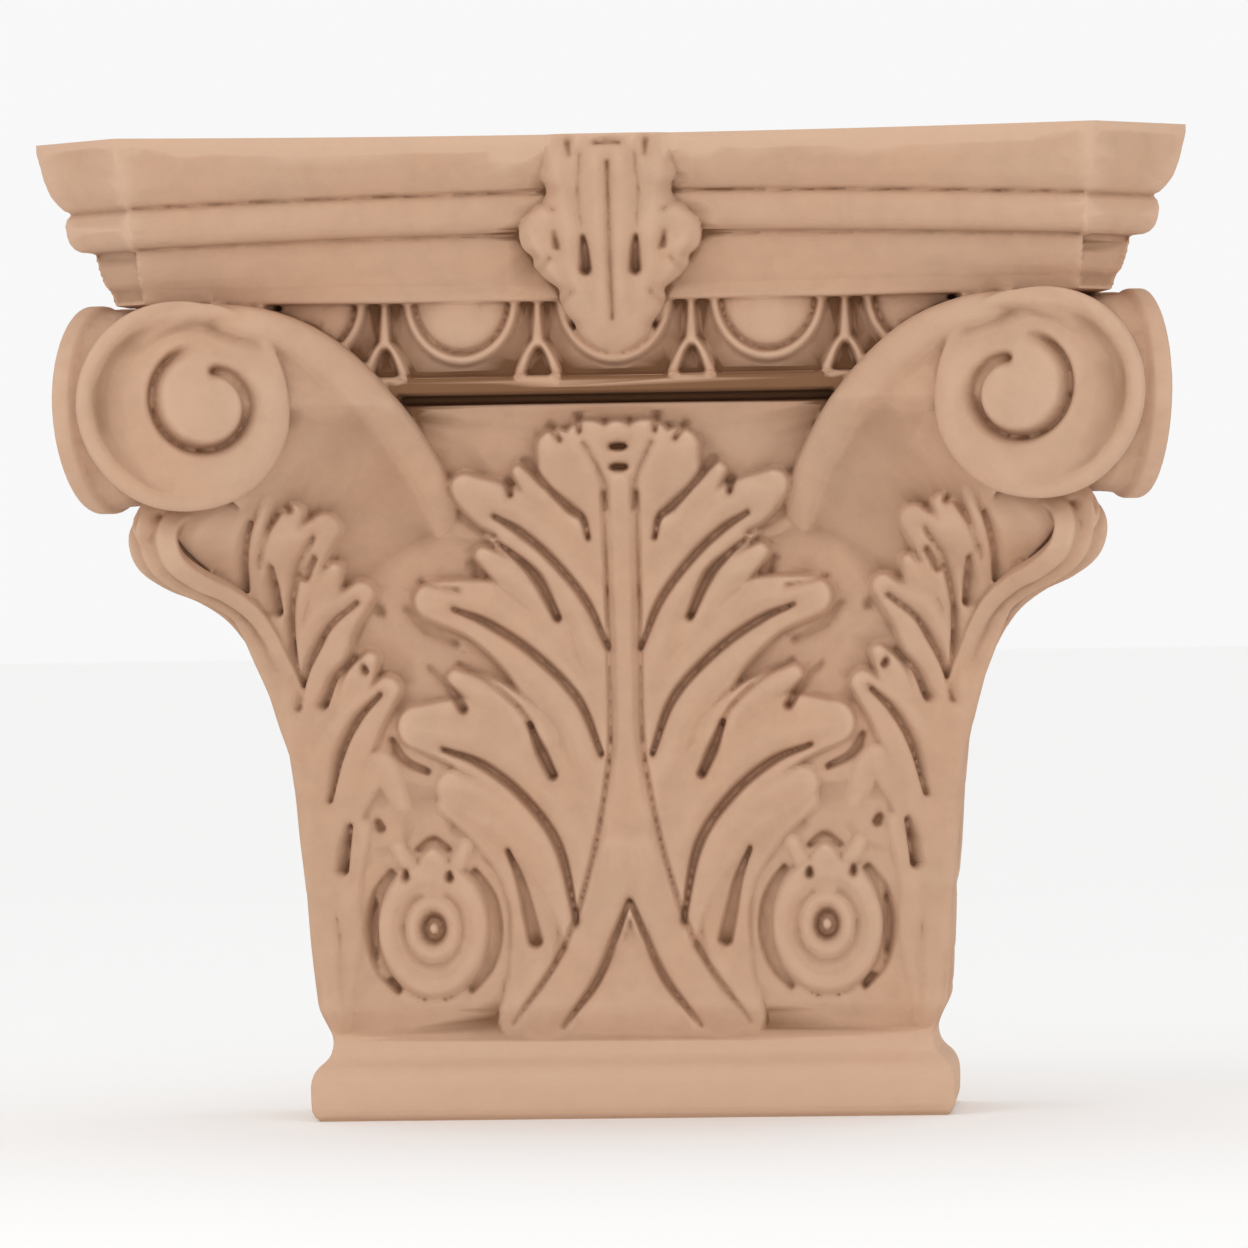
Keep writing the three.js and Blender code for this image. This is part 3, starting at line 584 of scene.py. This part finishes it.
def fleuron_surface(rows, columns):
    """The small leaf on the middle of the abacus that hangs down over the eggs."""
    z = np.linspace(FLEURON_OUTLINE[0][0], DRAWN_HEIGHT + 0.5, rows)[:, None]
    share = np.linspace(-1, 1, columns)[None, :]
    outline = smooth_line(FLEURON_OUTLINE)
    half = np.interp(z, outline[:, 0], outline[:, 1])
    x = share * half
    leaf = Relief(np.abs(x), z + 0 * x)
    leaf.height += 1.2 * (1 - np.abs(share) ** 3) + 0 * z
    leaf.roll([(2.6, 240), (3, 230), (2.4, 214), (2.6, 198)], [1.6, 1.9, 1.8, 1.6], 0.9)
    leaf.roll([(12.6, 240), (12, 231), (10.4, 222), (9.6, 212), (6.4, 200)],
              [1.8, 2.2, 2.2, 2, 1.6], 1)
    leaf.roll([(19.6, 219.4), (15.4, 211), (10.8, 203)], [1.5, 1.8, 1.4], 0.9)
    leaf.cut([(0, 236), (0, 224), (0, 212), (0, 198)], [0.6, 0.8, 1, 0.7], 1.2, shoulder=0.4, floor=-4)
    leaf.cut([(6.4, 218), (6.1, 214.6), (6, 210)], [0.6, 1.4, 1.9], 5, shoulder=0.5, floor=-4)
    leaf.cut([(6.6, 238), (7.2, 229), (6.6, 220)], [0.6, 0.8, 0.5], 0.7, shoulder=0.3, floor=-4)
    leaf.cut([(13.4, 219), (12.8, 215.6)], [0.6, 1.2], 2.2, shoulder=0.4, floor=-4)
    leaf.cut([(16.6, 227), (13.4, 224.4)], [0.9, 0.6], 1.4, shoulder=0.3, floor=-4)
    leaf.cut([(18.6, 209), (14.6, 212.6)], [0.9, 0.6], 1.6, shoulder=0.3, floor=-4)
    leaf.cut([(13, 201.6), (9.6, 204.4)], [0.9, 0.6], 1.4, shoulder=0.3, floor=-4)
    leaf.cut([(0, 241), (3, 240.6)], [0.9, 0.6], 1.4, shoulder=0.3, floor=-4)
    leaf.cut([(9.4, 241), (9, 238)], [1, 0.7], 1.4, shoulder=0.3, floor=-4)
    leaf.soften(1)
    outs = smooth_line(FLEURON_FACE)
    face = np.interp(z, outs[:, 0], outs[:, 1])
    edge_drop = 2.8 * np.abs(share) ** 8
    y = -(face + leaf.height - edge_drop)
    front = np.stack([x, y + 0 * x, z + 0 * x], axis=-1)
    back = front[:, ::-1].copy()
    back[..., 1] = -FLEURON_BACK
    points = np.concatenate([front, back[:, :1], back[:, -1:], front[:, :1]], axis=1)
    return capped(points)


# ---- from surfaces to one solid --------------------------------------------------------------------

def turned(points, quarters):
    """Places turned by quarter turns about the plan centre."""
    angle = quarters * math.pi / 2
    cos = math.cos(angle)
    sin = math.sin(angle)
    x = points[..., 0] * cos - points[..., 1] * sin
    y = points[..., 0] * sin + points[..., 1] * cos
    return np.stack([x, y, points[..., 2]], axis=-1)


def mirrored(points):
    """Places carried over to the left half."""
    return points * [-1, 1, 1]


def mitred(points, lap=0.4):
    """Places of a right corner piece, held back to the plane of the diagonal."""
    past = np.maximum(points[..., 0] + points[..., 1] - lap, 0) / 2
    return points - past[..., None] * [1, 1, 0]


def opened(points):
    """Places of the drawn carving, opened out towards its top to the full size of the capital."""
    z = points[..., 2]
    wider = 1 + (HORN_HALF / DRAWN_HALF - 1) * ease((z - 100) / 90)
    taller = (HEIGHT - DRAWN_HEIGHT) * ease((z - 70) / 130)
    return np.stack([points[..., 0] * wider, points[..., 1] * wider, z + taller], axis=-1)


def held_at_wall(points):
    """Nothing runs further back than just behind the wall plane."""
    points = points.copy()
    points[..., 1] = np.minimum(points[..., 1], -WALL_BACK + 4 * BEYOND)
    return points


def add_surface(whole, points):
    """Adds a closed surface to a bmesh: a grid with its vertices moved to the places given."""
    rows, columns = points.shape[:2]
    grid = bmesh.new()
    bmesh.ops.create_grid(grid, x_segments=columns - 1, y_segments=rows - 1, size=0.5)
    mesh = bpy.data.meshes.new("surface")
    grid.to_mesh(mesh)
    grid.free()
    flat = np.empty(len(mesh.vertices) * 3, np.float32)
    mesh.vertices.foreach_get("co", flat)
    column = np.rint((flat[0::3] + 0.5) * (columns - 1)).astype(int)
    row = np.rint((flat[1::3] + 0.5) * (rows - 1)).astype(int)
    placed = opened(points)[row, column] * MM
    mesh.vertices.foreach_set("co", placed.astype(np.float32).ravel())
    part = bmesh.new()
    part.from_mesh(mesh)
    bmesh.ops.remove_doubles(part, verts=part.verts, dist=1e-3 * MM)
    bmesh.ops.dissolve_degenerate(part, edges=part.edges, dist=1e-3 * MM)
    bmesh.ops.recalc_face_normals(part, faces=part.faces)
    part.to_mesh(mesh)
    part.free()
    whole.from_mesh(mesh)
    bpy.data.meshes.remove(mesh)


def rough_capital(detail):
    """Every surface of the capital, each closed, run past the flat cuts."""
    columns = int(250 * detail)
    rows = int(460 * detail)
    share = np.linspace(-1, 1, 2 * columns)
    face = bell_face(share, rows)
    half = bell_face(share[share < -0.08], rows)
    scroll = [mitred(volute_surface(int(160 * detail), int(46 * detail))),
              mitred(stalk_surface(int(64 * detail), int(70 * detail)))]
    curl = curl_surface(int(70 * detail), 40)
    whole = bmesh.new()
    add_surface(whole, face)
    add_surface(whole, held_at_wall(abacus_surface(48)))
    add_surface(whole, fleuron_surface(int(110 * detail), int(90 * detail)))
    for part in scroll + [curl]:
        add_surface(whole, part)
        add_surface(whole, mirrored(part))
    right = [half] + [mirrored(part) for part in scroll]
    for part in right:
        add_surface(whole, held_at_wall(turned(part, 1)))
        add_surface(whole, mirrored(held_at_wall(turned(part, 1))))
    return whole


def with_modifier(thing, kind, **settings):
    """Adds a modifier to an object, applies it and gives the new mesh to the object."""
    modifier = thing.modifiers.new(kind.title(), kind)
    for name, value in settings.items():
        setattr(modifier, name, value)
    graph = bpy.context.evaluated_depsgraph_get()
    graph.update()
    made = bpy.data.meshes.new_from_object(thing.evaluated_get(graph))
    thing.modifiers.clear()
    old = thing.data
    thing.data = made
    bpy.data.meshes.remove(old)


def flat_cut(shape, place, normal):
    """Saws the shape off flat and closes the cut."""
    everything = shape.verts[:] + shape.edges[:] + shape.faces[:]
    bmesh.ops.bisect_plane(shape, geom=everything, plane_co=place, plane_no=normal, clear_outer=True,
                           dist=1e-4 * MM)
    rim = [edge for edge in shape.edges if edge.is_boundary]
    bmesh.ops.holes_fill(shape, edges=rim, sides=0)


# the depth measured with these drives the painted shade in the hollows and the painted highlight on the raised
# edges
HOLLOW_REACH = 6        # rounds of smoothing for the surface that hollows are measured from
HOLLOW_BLUR = 1         # rounds of smoothing of the measured depth itself


def hollowness(mesh):
    """How far each vertex lies below the smoothed surface around it, in millimetres."""
    count = len(mesh.vertices)
    flat = np.empty(count * 3, np.float32)
    mesh.vertices.foreach_get("co", flat)
    co = flat.reshape(-1, 3).astype(float) / MM
    normals = np.empty(count * 3, np.float32)
    mesh.vertices.foreach_get("normal", normals)
    normals = normals.reshape(-1, 3)
    ends = np.empty(len(mesh.edges) * 2, np.int32)
    mesh.edges.foreach_get("vertices", ends)
    ends = ends.reshape(-1, 2)
    degree = np.bincount(ends.ravel(), minlength=count)[:, None]
    smooth = co.copy()
    for _ in range(HOLLOW_REACH):
        total = np.zeros_like(smooth)
        for axis in range(3):
            total[:, axis] = np.bincount(ends[:, 0], smooth[ends[:, 1], axis], count)
            total[:, axis] += np.bincount(ends[:, 1], smooth[ends[:, 0], axis], count)
        smooth = 0.5 * smooth + 0.5 * total / np.maximum(degree, 1)
    depth = ((smooth - co) * normals).sum(axis=1)
    for _ in range(HOLLOW_BLUR):
        total = np.bincount(ends[:, 0], depth[ends[:, 1]], count)
        total += np.bincount(ends[:, 1], depth[ends[:, 0]], count)
        depth = 0.5 * depth + 0.5 * total / np.maximum(degree[:, 0], 1)
    return depth


# ---- materials -------------------------------------------------------------------------------------

class Socket:
    """A node socket that sums and products can be written with."""

    def __init__(self, tree, output):
        self.tree = tree
        self.output = output

    def math(self, operation, *values):
        return self.tree.node("ShaderNodeMath", {"operation": operation}, values)

    def __add__(self, other):
        return self.math("ADD", self, other)

    __radd__ = __add__

    def __mul__(self, other):
        return self.math("MULTIPLY", self, other)

    def __sub__(self, other):
        return self.math("SUBTRACT", self, other)

    def clamped(self):
        return self.tree.node("ShaderNodeClamp", {}, [self])


class Finish:
    """A material's node tree."""

    def __init__(self, name):
        self.material = bpy.data.materials.new(name)
        self.material.use_nodes = True
        self.tree = self.material.node_tree
        self.shader = self.tree.nodes["Principled BSDF"]

    def node(self, kind, settings, values, output=0):
        """Any node: its settings first, then the values or links of its sockets."""
        made = self.tree.nodes.new(kind)
        for name, value in settings.items():
            setattr(made, name, value)
        pairs = values.items() if isinstance(values, dict) else enumerate(values)
        for key, value in pairs:
            if isinstance(value, Socket):
                self.tree.links.new(value.output, made.inputs[key])
            else:
                made.inputs[key].default_value = value
        return Socket(self, made.outputs[output])

    def mix(self, share, first, second):
        """A mix of two colours."""
        settings = {"data_type": "RGBA", "blend_type": "MIX"}
        return self.node("ShaderNodeMix", settings, {0: share, 6: first, 7: second}, output=2)

    def feed(self, socket, value):
        self.tree.links.new(value.output, self.shader.inputs[socket])


def composition_finish(settings):
    """Matt tan casting composition, with painted shade, darker and redder, in its hollows and a painted
    highlight, paler, on its raised edges.
    """
    finish = Finish("tan composition")
    shader = finish.shader
    shader.inputs["Specular IOR Level"].default_value = 0.3
    place = finish.node("ShaderNodeTexCoord", {}, {}, output="Object")
    noise = "ShaderNodeTexNoise"
    cloud = finish.node(noise, {}, {"Vector": place, "Scale": 26.0, "Detail": 3.0, "Roughness": 0.55})
    mottle = finish.node(noise, {}, {"Vector": place, "Scale": 170.0, "Detail": 4.0, "Roughness": 0.6})
    grit = finish.node(noise, {}, {"Vector": place, "Scale": 1100.0, "Detail": 3.0, "Roughness": 0.6})
    hollow = finish.node("ShaderNodeAttribute", {"attribute_name": "hollow"}, {}, output="Fac")
    base = (*settings.base_colour, 1.0)
    pale = (*settings.painted_highlight_colour, 1.0)
    dark = (*settings.painted_shade_colour, 1.0)
    warm = tuple(c * k for c, k in zip(base, (1.04, 0.985, 0.95, 1.0)))
    dull = tuple(c * 0.78 for c in base[:3]) + (1.0,)
    colour = finish.mix((cloud * 3.2 - 1.1).clamped(), base, warm)
    colour = finish.mix(((mottle - 0.42) * 1.1).clamped(), colour, dull)
    # painted highlight: the further a vertex stands out above the smoothed surface, the more it takes the
    # paler edge colour, in place of light catching the edges
    colour = finish.mix((hollow * -2.2 - 0.05).clamped() * 0.55, colour, pale)
    # painted shade: the deeper a vertex lies below the smoothed surface, the more it takes the dark hollow
    # colour
    colour = finish.mix((hollow * 2.2 - 0.1).clamped() * 0.92, colour, dark)
    finish.feed("Base Color", colour)
    finish.feed("Roughness", 0.78 + mottle * 0.16)
    height = cloud * 0.2 + mottle * 0.5 + grit * 0.3
    bump = finish.node("ShaderNodeBump", {}, {"Strength": 0.3, "Distance": 0.0012, "Height": height})
    finish.feed("Normal", bump)
    return finish.material


def paper_finish(settings):
    """The pale floor."""
    finish = Finish("pale floor")
    shader = finish.shader
    shader.inputs["Roughness"].default_value = 0.9
    shader.inputs["Specular IOR Level"].default_value = 0.1
    place = finish.node("ShaderNodeTexCoord", {}, {}, output="Object")
    cloud = finish.node("ShaderNodeTexNoise", {}, {"Vector": place, "Scale": 3.0, "Detail": 2.0})
    first = (*settings.floor_colour, 1.0)
    second = tuple(c * 0.985 for c in first[:3]) + (1.0,)
    finish.feed("Base Color", finish.mix(cloud, first, second))
    return finish.material


# ---- settings --------------------------------------------------------------------------------------

class CapitalSettings(bpy.types.PropertyGroup):
    """Sizes and colours of the capital's carving."""

    voxel: FloatProperty(name="Grain of the carving", description="Finest detail that the carving keeps",
                         default=0.0005, min=0.0003, max=0.01, subtype="DISTANCE", unit="LENGTH")
    triangles: IntProperty(name="Triangles", description="Most triangles in the finished carving",
                           default=186000, min=10000, max=199000)
    wear: IntProperty(name="Wear", description="How often the whole carving is rubbed smooth",
                      default=2, min=0)
    base_colour: FloatVectorProperty(name="Composition", description="Colour of the broad surfaces",
                                     default=(0.525, 0.335, 0.225), size=3, min=0, max=1, subtype="COLOR")
    # painted highlight: the paler colour laid on the raised edges stands in for light catching them, not for
    # rub wear
    painted_highlight_colour: FloatVectorProperty(name="Edges", description="Colour of the painted highlight on edges",
                                     default=(0.68, 0.465, 0.33), size=3, min=0, max=1, subtype="COLOR")
    # painted shade: the dark colour laid into the cuts and hollows where shade falls
    painted_shade_colour: FloatVectorProperty(name="Hollows", description="Colour in the cuts and hollows",
                                       default=(0.17, 0.075, 0.03), size=3, min=0, max=1, subtype="COLOR")


class StageSettings(bpy.types.PropertyGroup):
    """The floor, the light and the camera."""

    floor_colour: FloatVectorProperty(name="Floor", description="Colour of the floor",
                                      default=(0.965, 0.965, 0.96), size=3, min=0, max=1, subtype="COLOR")
    floor_half: FloatProperty(name="Floor reach", description="From the capital to the edge of the floor",
                              default=30.0, subtype="DISTANCE", unit="LENGTH")
    sky: FloatProperty(name="Sky", description="Strength of the even light from all round",
                       default=0.94, min=0)
    key: FloatProperty(name="Key light", description="Power of the soft light from the left",
                       default=2.0, min=0)
    fill: FloatProperty(name="Fill light", description="Power of the soft light from the front",
                        default=5.2, min=0)
    distance: FloatProperty(name="Camera distance", description="From the camera to the front of the neck",
                            default=2.0, subtype="DISTANCE", unit="LENGTH")
    height: FloatProperty(name="Camera height", description="Height of the camera over the floor",
                          default=0.1246, subtype="DISTANCE", unit="LENGTH")
    azimuth: FloatProperty(name="Camera turn", description="How far round to the right the camera stands",
                           default=math.radians(3.6), subtype="ANGLE", unit="ROTATION")
    roll: FloatProperty(name="Camera roll", description="Tilt of the camera about its own axis",
                        default=math.radians(0.85), subtype="ANGLE", unit="ROTATION")
    lens: FloatProperty(name="Lens", description="Focal length in millimetres", default=228.5, min=1)


# ---- operators -------------------------------------------------------------------------------------

SENSOR_WIDTH = 36.0     # of the camera, in millimetres
CAMERA_SHIFT = -0.0021  # how far the view is moved sideways, as a share of its width


class CAPITAL_OT_carving(bpy.types.Operator):
    """Carve the capital in one piece"""
    bl_idname = "capital.carving"
    bl_label = "Carve the capital"

    def execute(self, context):
        settings = context.scene.capital_carving
        coarse = 1.0
        rough = rough_capital(1 / coarse ** 0.5)
        mesh = bpy.data.meshes.new("capital_carved")
        rough.to_mesh(mesh)
        rough.free()
        piece = bpy.data.objects.new("capital_carved", mesh)
        context.scene.collection.objects.link(piece)
        with_modifier(piece, "REMESH", mode="VOXEL", voxel_size=settings.voxel * coarse, adaptivity=0.0)
        with_modifier(piece, "SMOOTH", factor=0.5, iterations=settings.wear)
        faces = 2 * len(piece.data.polygons)
        share = min(1.0, settings.triangles / faces)
        with_modifier(piece, "DECIMATE", ratio=share)
        shape = bmesh.new()
        shape.from_mesh(piece.data)
        flat_cut(shape, (0, 0, HEIGHT * MM), (0, 0, 1))
        flat_cut(shape, (0, 0, 0), (0, 0, -1))
        flat_cut(shape, (0, -WALL_BACK * MM, 0), (0, 1, 0))
        bmesh.ops.triangulate(shape, faces=shape.faces)
        bmesh.ops.recalc_face_normals(shape, faces=shape.faces)
        bmesh.ops.translate(shape, vec=(0, PLAN_CENTRE * MM, 0), verts=shape.verts)
        for vertex in shape.verts:
            vertex.co.x = max(-HORN_HALF * MM, min(HORN_HALF * MM, vertex.co.x))
        for facet in shape.faces:
            facet.smooth = abs(facet.normal.z) < 0.9999 and facet.normal.y < 0.9999
        shape.to_mesh(piece.data)
        shape.free()
        mesh = piece.data
        mesh.set_sharp_from_angle(angle=math.radians(60))
        attribute = mesh.attributes.new("hollow", "FLOAT", "POINT")
        attribute.data.foreach_set("value", hollowness(mesh).astype(np.float32))
        mesh.materials.clear()
        mesh.materials.append(composition_finish(settings))
        if len(mesh.polygons) >= TRIANGLE_LIMIT:
            raise RuntimeError("the carving has too many triangles")
        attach(piece, "root")
        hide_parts("capital")
        return {"FINISHED"}


class CAPITAL_OT_stage(bpy.types.Operator):
    """Set out the floor, the light and the camera"""
    bl_idname = "capital.stage"
    bl_label = "Set the stage"

    def execute(self, context):
        settings = context.scene.capital_stage
        scene = context.scene
        sheet = bmesh.new()
        bmesh.ops.create_circle(sheet, cap_ends=True, radius=settings.floor_half, segments=96)
        mesh = bpy.data.meshes.new("floor")
        sheet.to_mesh(mesh)
        sheet.free()
        floor = bpy.data.objects.new("floor", mesh)
        mesh.materials.append(paper_finish(settings))
        scene.collection.objects.link(floor)

        world = bpy.data.worlds.new("studio")
        world.use_nodes = True
        background = world.node_tree.nodes["Background"]
        background.inputs["Color"].default_value = (1.0, 1.0, 1.0, 1.0)
        background.inputs["Strength"].default_value = settings.sky
        scene.world = world

        add_light("key", settings.key, 0.9, (-0.75, -0.95, 1.0))
        add_light("fill", settings.fill, 1.2, (0.35, -1.8, 0.35))

        camera = bpy.data.objects.new("camera", bpy.data.cameras.new("camera"))
        camera.data.lens = settings.lens
        camera.data.sensor_width = SENSOR_WIDTH
        camera.data.shift_x = CAMERA_SHIFT
        neck = PLAN_CENTRE * MM - NECK_HALF * MM
        place = Vector((settings.distance * math.sin(settings.azimuth),
                        neck - settings.distance * math.cos(settings.azimuth), settings.height))
        turn = Matrix.Rotation(settings.azimuth, 4, "Z") @ Matrix.Rotation(math.pi / 2, 4, "X")
        camera.matrix_world = Matrix.Translation(place) @ turn @ Matrix.Rotation(-settings.roll, 4, "Z")
        scene.collection.objects.link(camera)
        scene.camera = camera
        scene.view_settings.view_transform = "Standard"
        return {"FINISHED"}


def add_light(name, power, size, place):
    """A soft square light that looks at the middle of the capital."""
    data = bpy.data.lights.new(name, "AREA")
    data.energy = power
    data.size = size
    light = bpy.data.objects.new(name, data)
    aim = Vector((0, 0, HEIGHT * MM / 2)) - Vector(place)
    light.matrix_world = Matrix.Translation(place) @ aim.to_track_quat("-Z", "Y").to_matrix().to_4x4()
    bpy.context.scene.collection.objects.link(light)


class CAPITAL_PT_panel(bpy.types.Panel):
    """Lists the operators and their settings"""
    bl_idname = "CAPITAL_PT_panel"
    bl_label = "Capital"
    bl_space_type = "VIEW_3D"
    bl_region_type = "UI"
    bl_category = "Capital"

    def draw(self, context):
        for settings, operator in ((context.scene.capital_carving, CAPITAL_OT_carving),
                                   (context.scene.capital_stage, CAPITAL_OT_stage)):
            box = self.layout.box()
            for name in settings.__annotations__:
                box.prop(settings, name)
            box.operator(operator.bl_idname)


CLASSES = (CapitalSettings, StageSettings, CAPITAL_OT_carving, CAPITAL_OT_stage, CAPITAL_PT_panel)


def register():
    for kind in CLASSES:
        bpy.utils.register_class(kind)
    bpy.types.Scene.capital_carving = bpy.props.PointerProperty(type=CapitalSettings)
    bpy.types.Scene.capital_stage = bpy.props.PointerProperty(type=StageSettings)


def unregister():
    del bpy.types.Scene.capital_stage
    del bpy.types.Scene.capital_carving
    for kind in reversed(CLASSES):
        bpy.utils.unregister_class(kind)


def main():
    register()
    bpy.ops.capital.carving()
    bpy.ops.capital.stage()


if __name__ == "__main__":
    main()
